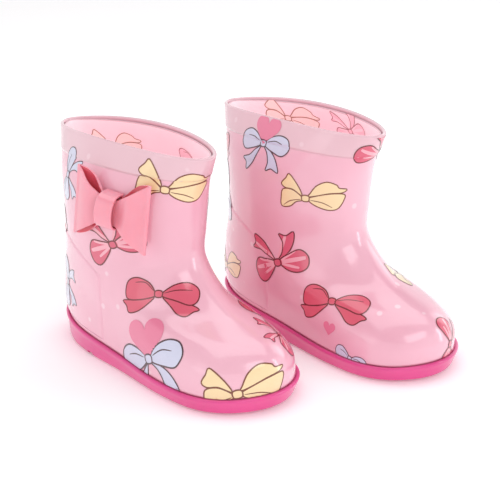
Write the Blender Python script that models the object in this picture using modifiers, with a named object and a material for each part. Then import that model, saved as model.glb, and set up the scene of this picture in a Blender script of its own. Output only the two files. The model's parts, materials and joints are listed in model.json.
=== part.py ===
"""A pair of toddler's short rain boots in clear PVC over a printed film, with a moulded
sole, a pull-out insole and a riveted bow on the outer side of each shaft.

Every shape is first written down for the right boot in boot coordinates, in millimetres:
u runs forward to the toe, v to the wearer's left and z up. The left boot is its mirror image,
but for its bow, which sits further back.
In the world the toes point to -Y, the wearer's left is +X and the floor is z = 0.
"""
import math
from bisect import bisect_right

import bpy
from mathutils import Matrix, Vector

MM = 0.001

# Fit between neighbouring pieces
GAP = 0.3

# Standing place of the two boots
BOOT_SPACING = 94.0
STAGGER = 35.0
BOX_CENTRE_U = -2.05

# Foot outline at the sole line: half length, half width and the width factors along it
FOOT_HALF_LENGTH = 82.0
FOOT_HALF_WIDTH = 35.0
OUTLINE_AT = (0.0, 0.12, 0.42, 0.68, 0.9, 1.0)
OUTLINE_FACTOR = (1.0, 0.98, 0.87, 1.06, 1.36, 1.38)
TOE_SWING = 1.5

# Sole: height of its top along the foot, rise of its bottom at the toe, and its wall as
# (distance outside the outline, height above the bottom or, for the last two, the top)
SOLE_AT = (0.0, 0.3, 0.65, 0.9, 1.0)
SOLE_TOP = (16.2, 12.6, 9.2, 9.8, 11.2)
TOE_SPRING = 1.8
TOE_SPRING_FROM = 0.65
SOLE_WALL = ((-3.0, 0.0), (-0.3, 1.8), (0.9, 6.0), (1.9, -1.2), (1.1, 0.0))
TREAD_DEPTH = 2.2
TREAD_WIDTH = 4.0
TREAD_MARGIN = 7.0
HEEL_TREADS = (-70.0, -61.0, -52.0)
FOREFOOT_TREADS = (-18.0, -7.0, 4.0, 15.0, 26.0, 37.0, 48.0)
ARCH_STEP = -40.0
ARCH_STEP_WIDTH = 5.0

# Upper, as tilted sections from the sole line to the collar:
# back u, back z, front u, front z, half width, roundness, pinch of the front end
SECTIONS = (
    (-82.0, SOLE_TOP[0] + GAP, 82.0, SOLE_TOP[-1] + GAP, FOOT_HALF_WIDTH, 0.0, 0.0),
    (-84.0, 27.0, 82.0, 23.0, 35.0, 0.12, 0.1),
    (-83.5, 38.0, 73.0, 33.0, 33.5, 0.45, 0.28),
    (-81.5, 49.0, 43.0, 43.0, 32.2, 0.8, 0.34),
    (-77.5, 63.0, 20.5, 62.0, 31.8, 1.0, 0.2),
    (-77.0, 81.0, 18.0, 80.0, 32.5, 1.0, 0.05),
    (-80.5, 102.0, 21.5, 103.0, 31.0, 1.0, 0.0),
    (-87.0, 123.0, 32.0, 126.0, 21.5, 1.0, 0.0),
)
COLLAR = len(SECTIONS) - 1.0
RIM_SADDLE = 3.5
SADDLE_FROM = 4.0

# Walls of the upper
SHELL_WALL = 1.6
SOCK_WALL = 1.0
SOCK_TOP = COLLAR - 0.05
BAND_FROM = 6.45
BAND_WALL = 0.7
COUNTER_FROM = 0.15
COUNTER_FRONT_U = -24.0
COUNTER_PEAK = 4.55
COUNTER_DROP = 1.05
COUNTER_CURVE = 3.0
COUNTER_WALL = 0.6

# Insole, lifted at the heel about a line at its toe
INSOLE_INSET = 6.0
FOAM_THICKNESS = 2.8
CLOTH_THICKNESS = 0.6
INSOLE_HINGE_U = 75.0

# Bow, rivet and washer; heights are measured outward from the shell along the rivet
RIVET_LEVEL = 5.64
RIVET_ANGLES = {"right": math.radians(247.0), "left": math.radians(270.0)}
RIVET_RADIUS = 1.5
RIVET_HOLE_RADIUS = 1.8
RIVET_HOLE_DEPTH = 8.0
RIVET_HEAD_RADIUS = 4.2
RIVET_TAIL_RADIUS = 3.0
RIVET_HEAD = (3.9, 5.0)
RIVET_TAIL = (-5.9, -4.9)
WASHER_RADIUS = 5.0
WASHER = (-4.6, -3.6)
BOW_TILT = math.radians(6.0)
BOW_WALL = 1.4
BOW_HALF_LENGTH = 22.5
BOW_WAIST_HALF_HEIGHT = 7.3
BOW_END_HALF_HEIGHT = 19.5
BOW_FLARE_FROM = 0.25
BOW_REAR_BULGE = 3.0
BOW_AT = (0.0, 0.3, 0.6, 1.0)
BOW_FRONT = (6.0, 6.3, 7.6, 3.0)
BOW_REAR = (2.9, 2.9, 1.3, 3.0)
KNOT_HALF_WIDTH = 5.4
KNOT_HALF_HEIGHT = 9.2
KNOT_BACK = 1.2
KNOT_FRONT = 11.4
KNOT_SQUARENESS = 0.5
KNOT_WALL = 1.2

# Facets
AROUND = 32
RINGS = 16
TURNED_STEPS = 20


def through(knots, values, x):
    """The smooth curve through the values at the knots, read at x."""
    last = len(knots) - 1
    i = min(max(bisect_right(knots, x) - 1, 0), last - 1)

    def slope(j):
        low, high = max(j - 1, 0), min(j + 1, last)
        return (values[high] - values[low]) / (knots[high] - knots[low])

    span = knots[i + 1] - knots[i]
    t = (x - knots[i]) / span
    start = (2 * t**3 - 3 * t**2 + 1) * values[i] + (t**3 - 2 * t**2 + t) * span * slope(i)
    end = (3 * t**2 - 2 * t**3) * values[i + 1] + (t**3 - t**2) * span * slope(i + 1)
    return start + end


def foreness(angle):
    """0 at the heel's centre line, 1 at the toe's."""
    return (1 - math.cos(angle)) / 2


def outline_factor(fore):
    return through(OUTLINE_AT, OUTLINE_FACTOR, fore)


def sole_top(fore):
    return through(SOLE_AT, SOLE_TOP, fore)


def sole_bottom(fore):
    return TOE_SPRING * max(0.0, (fore - TOE_SPRING_FROM) / (1 - TOE_SPRING_FROM)) ** 2


def boot_point(level, angle):
    """A point of the boot's outer skin: level 0 is the sole line, COLLAR the rim."""
    knots = range(len(SECTIONS))
    section = [through(knots, column, level) for column in zip(*SECTIONS)]
    back_u, back_z, front_u, front_z, half_width, roundness, pinch = section
    roundness = min(max(roundness, 0.0), 1.0)
    fore = foreness(angle)
    factor = outline_factor(fore) * (1 - roundness) + roundness
    factor *= 1 - max(pinch, 0.0) * fore**3
    swing = TOE_SWING * fore**3 * (1 - roundness)
    z = back_z + (front_z - back_z) * fore
    sole_chord = SOLE_TOP[0] + (SOLE_TOP[-1] - SOLE_TOP[0]) * fore
    z += max(0.0, 1 - level) * (sole_top(fore) - sole_chord)
    rise = max(0.0, (level - SADDLE_FROM) / (COLLAR - SADDLE_FROM))
    z += RIM_SADDLE * rise * 4 * fore * (1 - fore)
    u = back_u + (front_u - back_u) * fore
    return Vector((u, half_width * math.sin(angle) * factor + swing, z))


def boot_normal(level, angle):
    """The outer skin's outward normal."""
    step = 0.01
    low, high = max(level - step, 0.0), min(level + step, COLLAR)
    along = boot_point(high, angle) - boot_point(low, angle)
    around = boot_point(level, angle + step) - boot_point(level, angle - step)
    return along.cross(around).normalized()


def skin_point(level, angle, inset):
    """A point the given distance inside the outer skin."""
    return boot_point(level, angle) - boot_normal(level, angle) * inset


def ring_angles():
    return [2 * math.pi * i / AROUND for i in range(AROUND)]


def outline_ring(grow, height):
    """The foot outline, grown outward, at a height that depends on the place along the foot."""
    ring = []
    for angle in ring_angles():
        fore = foreness(angle)
        u = (2 * fore - 1) * (FOOT_HALF_LENGTH + grow)
        v = math.sin(angle) * outline_factor(fore) * (FOOT_HALF_WIDTH + grow)
        ring.append(Vector((u, v + TOE_SWING * fore**3, height(fore))))
    return ring


def side_faces(rows, columns, closed):
    """Quads between rows of points, wound to face outward on a boot-like tube."""
    faces = []
    for row in range(rows - 1):
        for column in range(columns if closed else columns - 1):
            after = (column + 1) % columns
            low, high = row * columns, (row + 1) * columns
            faces.append((low + column, high + column, high + after, low + after))
    return faces


def cap_faces(first, faces_up):
    """Strips across a ring whose points i and AROUND - i lie opposite each other."""
    faces = []
    for i in range(AROUND // 2):
        corners = [i, i + 1, AROUND - i - 1, (AROUND - i) % AROUND]
        corners = list(dict.fromkeys(first + corner for corner in corners))
        faces.append(tuple(reversed(corners) if faces_up else corners))
    return faces


class Boot:
    """Places the boot coordinates of one side in the world and makes its objects."""

    def __init__(self, name, side, collection, cutters):
        self.name = name
        self.side = side
        self.rivet_angle = RIVET_ANGLES[name]
        self.collection = collection
        self.cutters = cutters
        self.root = bpy.data.objects.new(name + "_boot", None)
        x = side * BOOT_SPACING / 2
        y = -side * STAGGER / 2 + BOX_CENTRE_U
        self.root.location = Vector((x, y, 0)) * MM
        collection.objects.link(self.root)

    def local(self, point):
        """Boot coordinates to metres in the boot's own empty."""
        return Vector((-self.side * point.y, -point.x, point.z)) * MM

    def mesh(self, name, points, faces, material, origin=None):
        origin = origin or Vector((0, 0, 0))
        mesh = bpy.data.meshes.new(self.name + "_" + name)
        if self.side > 0:
            faces = [tuple(reversed(face)) for face in faces]
        mesh.from_pydata([self.local(p - origin) for p in points], [], faces)
        return self.add(name, mesh, material, origin)

    def add(self, name, mesh, material, origin=None, collection=None):
        piece = bpy.data.objects.new(self.name + "_" + name, mesh)
        piece.parent = self.root
        piece.location = self.local(origin or Vector((0, 0, 0)))
        (collection or self.collection).objects.link(piece)
        if material:
            mesh.materials.append(material)
        mesh.shade_smooth()
        return piece

    def rivet_matrix(self):
        """Turns +Z to the rivet's outward direction, in the boot's empty."""
        normal = self.local(boot_normal(RIVET_LEVEL, self.rivet_angle)).normalized()
        place = self.local(boot_point(RIVET_LEVEL, self.rivet_angle))
        return Matrix.Translation(place) @ normal.to_track_quat("Z", "Y").to_matrix().to_4x4()

    def turned(self, name, profile, material, collection=None):
        """A piece turned about the rivet, from (radius, height) points down its outer side."""
        points = [(radius * MM, 0, height * MM) for radius, height in profile]
        edges = [(i, i + 1) for i in range(len(points) - 1)]
        if profile[0][0] > 0:
            edges.append((len(points) - 1, 0))
        mesh = bpy.data.meshes.new(self.name + "_" + name)
        mesh.from_pydata(points, edges, [])
        piece = self.add(name, mesh, material, collection=collection)
        piece.matrix_local = self.rivet_matrix()
        screw = piece.modifiers.new("Turn", "SCREW")
        screw.steps = TURNED_STEPS
        screw.render_steps = TURNED_STEPS
        screw.use_merge_vertices = True
        screw.merge_threshold = 0.0001
        return piece

    def cut(self, piece, cutter):
        boolean = piece.modifiers.new("Cut", "BOOLEAN")
        boolean.operation = "DIFFERENCE"
        boolean.object = cutter


def thicken(piece, thickness, outward=False):
    solidify = piece.modifiers.new("Wall", "SOLIDIFY")
    solidify.thickness = thickness * MM
    solidify.offset = 1 if outward else -1
    solidify.use_even_offset = True


def skin_tube(boot, name, levels, inset, material):
    """The boot's skin between two levels, as an open surface."""
    points = [skin_point(level, angle, inset) for level in levels for angle in ring_angles()]
    return boot.mesh(name, points, side_faces(len(levels), AROUND, True), material)


def spread(start, end, count):
    return [start + (end - start) * i / (count - 1) for i in range(count)]


def shell(boot, material, rivet_hole):
    piece = skin_tube(boot, "shell", spread(0.0, COLLAR, RINGS), 0.0, material)
    thicken(piece, SHELL_WALL)
    boot.cut(piece, rivet_hole)


def printed_sock(boot, material, rivet_hole):
    """The film and lining inside the shell, closed under the insole."""
    levels = spread(0.0, SOCK_TOP, RINGS)
    inset = SHELL_WALL + GAP
    points = [skin_point(level, angle, inset) for level in levels for angle in ring_angles()]
    for i, angle in enumerate(ring_angles()):
        points[i].z = sole_top(foreness(angle)) + GAP
    faces = side_faces(len(levels), AROUND, True) + cap_faces(0, faces_up=False)
    piece = boot.mesh("printed_sock", points, faces, material)
    thicken(piece, SOCK_WALL)
    boot.cut(piece, rivet_hole)


def topline_band(boot, material):
    piece = skin_tube(boot, "topline_band", spread(BAND_FROM, COLLAR, 4), -GAP, material)
    thicken(piece, BAND_WALL, outward=True)


def counter_edge(level):
    """The angle from the heel to the counter's front edge."""
    knots = range(len(SECTIONS))
    back_u = through(knots, [section[0] for section in SECTIONS], level)
    front_u = through(knots, [section[2] for section in SECTIONS], level)
    return math.acos(1 - 2 * (COUNTER_FRONT_U - back_u) / (front_u - back_u))


def heel_counter(boot, material):
    """A raised panel round the heel, highest at the back, with upright front edges."""
    columns, rows = 23, 11
    points = []
    for up in spread(0.0, 1.0, rows):
        for across in spread(-1.0, 1.0, columns):
            top = COUNTER_PEAK - COUNTER_DROP * abs(across) ** COUNTER_CURVE
            level = COUNTER_FROM + (top - COUNTER_FROM) * up
            points.append(skin_point(level, across * counter_edge(level), -GAP))
    piece = boot.mesh("heel_counter", points, side_faces(rows, columns, False), material)
    thicken(piece, COUNTER_WALL, outward=True)


def plate(boot, name, rings, material, origin=None):
    """A closed solid lofted through outline rings, capped at both ends."""
    points = [point for ring in rings for point in ring]
    faces = side_faces(len(rings), AROUND, True)
    faces += cap_faces(0, faces_up=False)
    faces += cap_faces((len(rings) - 1) * AROUND, faces_up=True)
    return boot.mesh(name, points, faces, material, origin)


def outsole(boot, material):
    rings = []
    for i, (grow, height) in enumerate(SOLE_WALL):
        edge = sole_bottom if i < len(SOLE_WALL) - 2 else sole_top
        rings.append(outline_ring(grow, lambda fore, e=edge, h=height: e(fore) + h))
    piece = plate(boot, "outsole", rings, material)
    for number, u in enumerate(HEEL_TREADS + FOREFOOT_TREADS):
        half_length = sole_half_width(u) - TREAD_MARGIN
        boot.cut(piece, tread_cutter(boot, number, u, TREAD_WIDTH, half_length))
    right_across = 2 * FOOT_HALF_WIDTH
    boot.cut(piece, tread_cutter(boot, "arch", ARCH_STEP, ARCH_STEP_WIDTH, right_across))


def foreness_at(u):
    return (u / FOOT_HALF_LENGTH + 1) / 2


def sole_half_width(u):
    fore = foreness_at(u)
    return FOOT_HALF_WIDTH * outline_factor(fore) * 2 * math.sqrt(fore * (1 - fore))


def tread_cutter(boot, number, u, width, half_length):
    """A box that cuts one groove across the sole's underside."""
    fore = foreness_at(u)
    top = sole_bottom(fore) + TREAD_DEPTH
    low = -TREAD_DEPTH
    bpy.ops.mesh.primitive_cube_add(size=1)
    cutter = bpy.context.object
    bpy.context.collection.objects.unlink(cutter)
    boot.cutters.objects.link(cutter)
    cutter.name = f"{boot.name}_tread_cutter_{number}"
    cutter.data.transform(Matrix.Diagonal((2 * half_length * MM, width * MM, (top - low) * MM, 1)))
    cutter.parent = boot.root
    cutter.location = boot.local(Vector((u, TOE_SWING * fore**3, (top + low) / 2)))
    hide(cutter)
    return cutter


def hide(cutter):
    cutter.hide_render = True
    cutter.display_type = "WIRE"


def insole(boot, foam, cloth):
    """A foam bed and its cloth cover, over the sock's floor."""
    bed = 2 * GAP + SOCK_WALL
    cover = bed + FOAM_THICKNESS + GAP
    origin = Vector((INSOLE_HINGE_U, 0, insole_hinge_z()))
    for name, low, thick, material in (
        ("insole_foam", bed, FOAM_THICKNESS, foam),
        ("insole_cloth", cover, CLOTH_THICKNESS, cloth),
    ):
        rings = [
            outline_ring(-INSOLE_INSET, lambda fore, h=height: sole_top(fore) + h)
            for height in (low, low + thick)
        ]
        plate(boot, name, rings, material, origin)


def insole_hinge_z():
    return sole_top(foreness_at(INSOLE_HINGE_U)) + 2 * GAP + SOCK_WALL


def bow_axes(boot):
    """Forward, up and outward directions of the bow, in boot coordinates."""
    outward = boot_normal(RIVET_LEVEL, boot.rivet_angle)
    level_forward = Vector((0, 0, 1)).cross(outward).normalized()
    upright = outward.cross(level_forward)
    forward = level_forward * math.cos(BOW_TILT) - upright * math.sin(BOW_TILT)
    return forward, outward.cross(forward), outward


def bow_point(boot, forward, up, outward):
    along, upward, normal = bow_axes(boot)
    centre = boot_point(RIVET_LEVEL, boot.rivet_angle)
    return centre + along * forward + upward * up + normal * outward


def loop_path():
    """The strip's middle line from above: (share of the half length, half height, outward)."""
    steps = 10
    shares = [i / steps for i in range(steps + 1)]
    front = [
        (share, loop_half_height(share, 0.0), through(BOW_AT, BOW_FRONT, share))
        for share in shares
    ]
    rear = [
        (share, loop_half_height(share, BOW_REAR_BULGE), through(BOW_AT, BOW_REAR, share))
        for share in reversed(shares[:-1])
    ]
    half = front + rear
    other = [(-share, height, outward) for share, height, outward in reversed(half[1:-1])]
    return half + other


def loop_half_height(share, bulge):
    """Low inside the knot, flared towards the end; bulge widens the middle of the flare."""
    flare = max(share - BOW_FLARE_FROM, 0.0) / (1 - BOW_FLARE_FROM)
    height = BOW_WAIST_HALF_HEIGHT + (BOW_END_HALF_HEIGHT - BOW_WAIST_HALF_HEIGHT) * flare
    return height + bulge * math.sin(flare * math.pi)


def bow_loops(boot, material, rivet_hole):
    rows = 5
    path = loop_path()
    points = [
        bow_point(boot, share * BOW_HALF_LENGTH, row * half_height, outward)
        for row in spread(-1.0, 1.0, rows)
        for share, half_height, outward in path
    ]
    origin = boot_point(RIVET_LEVEL, boot.rivet_angle)
    faces = side_faces(rows, len(path), True)
    piece = boot.mesh("bow_loops", points, faces, material, origin)
    solidify_centred(piece, BOW_WALL)
    boot.cut(piece, rivet_hole)


def bow_knot(boot, material, rivet_hole):
    """A band round the bow's waist: flat against the boot, domed in front."""
    half = KNOT_HALF_HEIGHT
    dome = 14
    turns = [math.pi * i / dome for i in range(dome + 1)]
    path = [
        (half * math.cos(turn),
         KNOT_BACK + (KNOT_FRONT - KNOT_BACK) * abs(math.sin(turn)) ** KNOT_SQUARENESS)
        for turn in turns
    ]
    path += [(up, KNOT_BACK) for up in spread(-half, half, 7)[1:-1]]
    rows = 4
    points = [
        bow_point(boot, KNOT_HALF_WIDTH * side, up, outward)
        for side in spread(-1.0, 1.0, rows)
        for up, outward in path
    ]
    origin = boot_point(RIVET_LEVEL, boot.rivet_angle)
    faces = side_faces(rows, len(path), True)
    piece = boot.mesh("bow_knot", points, faces, material, origin)
    solidify_centred(piece, KNOT_WALL)
    boot.cut(piece, rivet_hole)


def solidify_centred(piece, thickness):
    thicken(piece, thickness)
    piece.modifiers["Wall"].offset = 0


def rivet(boot, material, washer_material):
    head_low, head_top = RIVET_HEAD
    tail_low, tail_top = RIVET_TAIL
    profile = [
        (0.0, head_top),
        (RIVET_HEAD_RADIUS, head_top),
        (RIVET_HEAD_RADIUS, head_low),
        (RIVET_RADIUS, head_low),
        (RIVET_RADIUS, tail_top),
        (RIVET_TAIL_RADIUS, tail_top),
        (RIVET_TAIL_RADIUS, tail_low),
        (0.0, tail_low),
    ]
    boot.turned("bow_rivet", profile, material)
    low, top = WASHER
    ring = [
        (WASHER_RADIUS, top),
        (WASHER_RADIUS, low),
        (RIVET_HOLE_RADIUS, low),
        (RIVET_HOLE_RADIUS, top),
    ]
    boot.turned("bow_rivet_washer", ring, washer_material)


def rivet_cutter(boot):
    top, low = RIVET_HEAD[1], -RIVET_HOLE_DEPTH
    profile = [(0.0, top), (RIVET_HOLE_RADIUS, top), (RIVET_HOLE_RADIUS, low), (0.0, low)]
    cutter = boot.turned("rivet_cutter", profile, None, boot.cutters)
    hide(cutter)
    return cutter


def material(name, colour, roughness):
    made = bpy.data.materials.new(name)
    made.use_nodes = True
    shader = made.node_tree.nodes["Principled BSDF"]
    shader.inputs["Base Color"].default_value = (*colour, 1)
    shader.inputs["Roughness"].default_value = roughness
    return made


def collection(name):
    made = bpy.data.collections.new(name)
    bpy.context.scene.collection.children.link(made)
    return made


def clear_scene():
    for old in list(bpy.data.objects):
        bpy.data.objects.remove(old)


def main():
    clear_scene()
    boots = collection("rain_boots")
    cutters = collection("cutters")
    clear_pvc = material("clear_pvc", (0.95, 0.72, 0.78), 0.12)
    printed_film = material("printed_film", (0.93, 0.55, 0.65), 0.5)
    sole_pvc = material("sole_pvc", (0.85, 0.1, 0.36), 0.3)
    bow_pvc = material("bow_pvc", (0.95, 0.33, 0.42), 0.3)
    foam = material("insole_foam", (0.9, 0.85, 0.82), 0.9)
    cloth = material("insole_cloth", (0.93, 0.7, 0.76), 0.9)
    rivet_plastic = material("rivet_plastic", (0.9, 0.45, 0.52), 0.4)
    for name, side in (("right", -1), ("left", 1)):
        boot = Boot(name, side, boots, cutters)
        rivet_hole = rivet_cutter(boot)
        outsole(boot, sole_pvc)
        shell(boot, clear_pvc, rivet_hole)
        printed_sock(boot, printed_film, rivet_hole)
        topline_band(boot, clear_pvc)
        heel_counter(boot, clear_pvc)
        insole(boot, foam, cloth)
        bow_loops(boot, bow_pvc, rivet_hole)
        bow_knot(boot, bow_pvc, rivet_hole)
        rivet(boot, rivet_plastic, rivet_plastic)


main()
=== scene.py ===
"""Looks of the pair of toddler's rain boots.

Shapes are written down for the right boot in boot coordinates, in millimetres: u runs forward
to the toe, v to the wearer's left and z up. The left boot is the mirror image, but for its
prints and its bow, which sits further back. A place on the upper is (level, angle): level 0 is
the sole line and 7 the rim; the angle is 0 at the heel, 180 degrees at the toe, and 180 to 360
on the outer side.
"""
import json
import math

import bpy
import numpy as np
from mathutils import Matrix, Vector

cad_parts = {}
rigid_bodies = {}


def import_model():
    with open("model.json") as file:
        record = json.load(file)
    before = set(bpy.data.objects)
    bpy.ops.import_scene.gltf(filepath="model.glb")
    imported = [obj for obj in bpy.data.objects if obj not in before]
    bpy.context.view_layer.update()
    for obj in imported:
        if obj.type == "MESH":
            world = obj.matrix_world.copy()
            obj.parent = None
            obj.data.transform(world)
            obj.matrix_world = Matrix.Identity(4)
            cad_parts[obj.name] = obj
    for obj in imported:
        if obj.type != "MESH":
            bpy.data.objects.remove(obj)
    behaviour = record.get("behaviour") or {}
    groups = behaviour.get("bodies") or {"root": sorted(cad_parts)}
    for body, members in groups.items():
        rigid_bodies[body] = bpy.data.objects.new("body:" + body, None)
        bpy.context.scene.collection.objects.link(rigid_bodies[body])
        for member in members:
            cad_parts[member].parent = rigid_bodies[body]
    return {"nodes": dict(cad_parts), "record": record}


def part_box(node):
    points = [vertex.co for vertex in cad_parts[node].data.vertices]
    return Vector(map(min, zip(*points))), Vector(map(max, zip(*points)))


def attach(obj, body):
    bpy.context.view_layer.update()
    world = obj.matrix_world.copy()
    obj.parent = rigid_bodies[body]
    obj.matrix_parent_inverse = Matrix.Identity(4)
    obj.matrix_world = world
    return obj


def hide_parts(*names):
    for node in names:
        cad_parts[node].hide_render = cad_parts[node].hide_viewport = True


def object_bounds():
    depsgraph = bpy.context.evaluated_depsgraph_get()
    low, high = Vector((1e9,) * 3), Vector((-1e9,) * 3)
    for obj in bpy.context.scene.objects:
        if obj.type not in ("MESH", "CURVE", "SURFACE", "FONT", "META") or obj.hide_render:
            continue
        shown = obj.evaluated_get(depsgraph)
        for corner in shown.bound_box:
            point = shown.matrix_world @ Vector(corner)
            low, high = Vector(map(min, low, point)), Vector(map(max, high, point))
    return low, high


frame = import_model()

MM = 0.001
CAD_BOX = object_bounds()

# The boot's form, as in the CAD model
GAP = 0.3
FOOT_HALF_LENGTH = 82.0
FOOT_HALF_WIDTH = 35.0
OUTLINE_AT = (0.0, 0.12, 0.42, 0.68, 0.9, 1.0)
OUTLINE_FACTOR = (1.0, 0.98, 0.87, 1.06, 1.36, 1.38)
TOE_SWING = 1.5
SOLE_AT = (0.0, 0.3, 0.65, 0.9, 1.0)
SOLE_TOP = (16.2, 12.6, 9.2, 9.8, 11.2)
TOE_SPRING = 1.8
TOE_SPRING_FROM = 0.65
TREAD_DEPTH = 2.2
TREAD_WIDTH = 4.0
TREAD_MARGIN = 7.0
HEEL_TREADS = (-70.0, -61.0, -52.0)
FOREFOOT_TREADS = (-18.0, -7.0, 4.0, 15.0, 26.0, 37.0, 48.0)
ARCH_STEP = -40.0
ARCH_STEP_WIDTH = 5.0
SECTIONS = np.array((
    # back u, back z, front u, front z, half width, roundness, pinch of the front end
    (-82.0, SOLE_TOP[0] + GAP, 82.0, SOLE_TOP[-1] + GAP, FOOT_HALF_WIDTH, 0.0, 0.0),
    (-84.0, 27.0, 82.0, 23.0, 35.0, 0.12, 0.1),
    (-83.5, 38.0, 73.0, 33.0, 33.5, 0.45, 0.28),
    (-81.5, 49.0, 43.0, 43.0, 32.2, 0.8, 0.34),
    (-77.5, 63.0, 20.5, 62.0, 31.8, 1.0, 0.2),
    (-77.0, 81.0, 18.0, 80.0, 32.5, 1.0, 0.05),
    (-80.5, 102.0, 21.5, 103.0, 31.0, 1.0, 0.0),
    (-87.0, 123.0, 32.0, 126.0, 21.5, 1.0, 0.0),
))
COLLAR = len(SECTIONS) - 1.0
RIM_SADDLE = 3.5
SADDLE_FROM = 4.0
SHELL_WALL = 1.6
LINING_WALL = 1.0
LINING_TOP = COLLAR - 0.05
BAND_FROM = 6.45
BAND_RELIEF = 0.5
BAND_RAMP = 0.04
BAND_LAP = 0.005
BAND_STANDOFF = 0.02
BAND_INSET = 0.2
COUNTER_FROM = 0.15
COUNTER_FRONT_U = -24.0
COUNTER_PEAK = 4.55
COUNTER_DROP = 1.05
COUNTER_CURVE = 3.0
COUNTER_RELIEF = 0.5
COUNTER_SIDE_RAMP = 0.02
COUNTER_TOP_RAMP = 0.06
PANEL_PROUD = 0.1
PANEL_SUNK = 0.08
PANEL_BACK = 0.3
PANEL_SIDE_EDGE = 0.01
PANEL_TOP_EDGE = 0.03
INSOLE_INSET = 6.0
FOAM_THICKNESS = 2.8
CLOTH_THICKNESS = 0.6
RIVET_LEVEL = 5.64
RIVET_ANGLES = {"right": math.radians(247.0), "left": math.radians(270.0)}
BOW_TILT = math.radians(6.0)
BOW_WALL = 1.4
BOW_HALF_LENGTH = 22.5
BOW_WAIST_HALF_HEIGHT = 7.3
BOW_END_HALF_HEIGHT = 19.5
BOW_FLARE_FROM = 0.25
BOW_REAR_BULGE = 3.0
BOW_AT = (0.0, 0.3, 0.6, 1.0)
BOW_FRONT = (6.0, 6.3, 7.6, 3.0)
BOW_REAR = (2.9, 2.9, 1.3, 3.0)
KNOT_HALF_WIDTH = 5.4
KNOT_HALF_HEIGHT = 9.2
KNOT_BACK = 1.2
KNOT_FRONT = 11.4
KNOT_SQUARENESS = 0.5
KNOT_WALL = 1.2
FOLD_RADIUS = 1.0
EDGE_ROUNDING = 0.36

# Fineness of the surfaces
AROUND = 168
OUTER_RINGS = 100
INNER_RINGS = 56
RIM_STEPS = 7
BAND_RIM_STEPS = 4
PANEL_COLUMNS = 56
PANEL_ROWS = 34
LOOP_STEPS = 26
LOOP_ROWS = 25
FOLD_STEPS = 9
KNOT_DOME_STEPS = 40
KNOT_BACK_STEPS = 16
KNOT_ROWS = 13
PRINT_STEP = 1.5
LINE_STEP = 0.9
WALK_STEPS = 14
SETTLE_STEPS = 3


# ---------------------------------------------------------------- form of the boot

def through(knots, values, x):
    """The smooth curve through the values at the knots, read at x."""
    knots = np.asarray(knots, float)
    values = np.asarray(values, float)
    last = len(knots) - 1
    order = np.arange(last + 1)
    low, high = np.maximum(order - 1, 0), np.minimum(order + 1, last)
    slope = (values[high] - values[low]) / (knots[high] - knots[low])
    i = np.clip(np.searchsorted(knots, x, side="right") - 1, 0, last - 1)
    span = knots[i + 1] - knots[i]
    t = (x - knots[i]) / span
    start = (2 * t**3 - 3 * t**2 + 1) * values[i] + (t**3 - 2 * t**2 + t) * span * slope[i]
    end = (3 * t**2 - 2 * t**3) * values[i + 1] + (t**3 - t**2) * span * slope[i + 1]
    return start + end


def smooth_step(x):
    x = np.clip(x, 0.0, 1.0)
    return x * x * (3 - 2 * x)


def foreness(angle):
    return (1 - np.cos(angle)) / 2


def foreness_at(u):
    return (u / FOOT_HALF_LENGTH + 1) / 2


def outline_factor(fore):
    return through(OUTLINE_AT, OUTLINE_FACTOR, fore)


def sole_top(fore):
    return through(SOLE_AT, SOLE_TOP, fore)


def sole_bottom(fore):
    return TOE_SPRING * np.maximum(0.0, (fore - TOE_SPRING_FROM) / (1 - TOE_SPRING_FROM)) ** 2


def skin(level, angle):
    """Points of the upper's outer skin, in boot coordinates."""
    level, angle = np.broadcast_arrays(np.asarray(level, float), np.asarray(angle, float))
    knots = np.arange(len(SECTIONS))
    columns = [through(knots, column, level) for column in SECTIONS.T]
    back_u, back_z, front_u, front_z, half_width, roundness, pinch = columns
    roundness = np.clip(roundness, 0.0, 1.0)
    fore = foreness(angle)
    factor = outline_factor(fore) * (1 - roundness) + roundness
    factor = factor * (1 - np.maximum(pinch, 0.0) * fore**3)
    swing = TOE_SWING * fore**3 * (1 - roundness)
    z = back_z + (front_z - back_z) * fore
    chord = SOLE_TOP[0] + (SOLE_TOP[-1] - SOLE_TOP[0]) * fore
    z = z + np.maximum(0.0, 1 - level) * (sole_top(fore) - chord)
    rise = np.maximum(0.0, (level - SADDLE_FROM) / (COLLAR - SADDLE_FROM))
    z = z + RIM_SADDLE * rise * 4 * fore * (1 - fore)
    u = back_u + (front_u - back_u) * fore
    return np.stack([u, half_width * np.sin(angle) * factor + swing, z], -1)


def slopes(level, angle):
    """The skin's rates of change along its level and its angle."""
    step = 0.01
    low, high = np.maximum(level - step, 0.0), np.minimum(level + step, COLLAR)
    along = (skin(high, angle) - skin(low, angle)) / (high - low)[..., None]
    around = (skin(level, angle + step) - skin(level, angle - step)) / (2 * step)
    return along, around


def unit(vectors):
    return vectors / np.linalg.norm(vectors, axis=-1, keepdims=True)


def skin_normal(level, angle):
    level, angle = np.broadcast_arrays(np.asarray(level, float), np.asarray(angle, float))
    along, around = slopes(level, angle)
    return unit(np.cross(along, around))


def raised(level, angle, height):
    return skin(level, angle) + skin_normal(level, angle) * np.asarray(height)[..., None]


def counter_edge(level):
    """The angle from the heel to the counter's front edge."""
    knots = np.arange(len(SECTIONS))
    back_u, front_u = through(knots, SECTIONS[:, 0], level), through(knots, SECTIONS[:, 2], level)
    return np.arccos(1 - 2 * (COUNTER_FRONT_U - back_u) / (front_u - back_u))


def counter_top(across):
    return COUNTER_PEAK - COUNTER_DROP * np.minimum(abs(across), 1.0) ** COUNTER_CURVE


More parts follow.
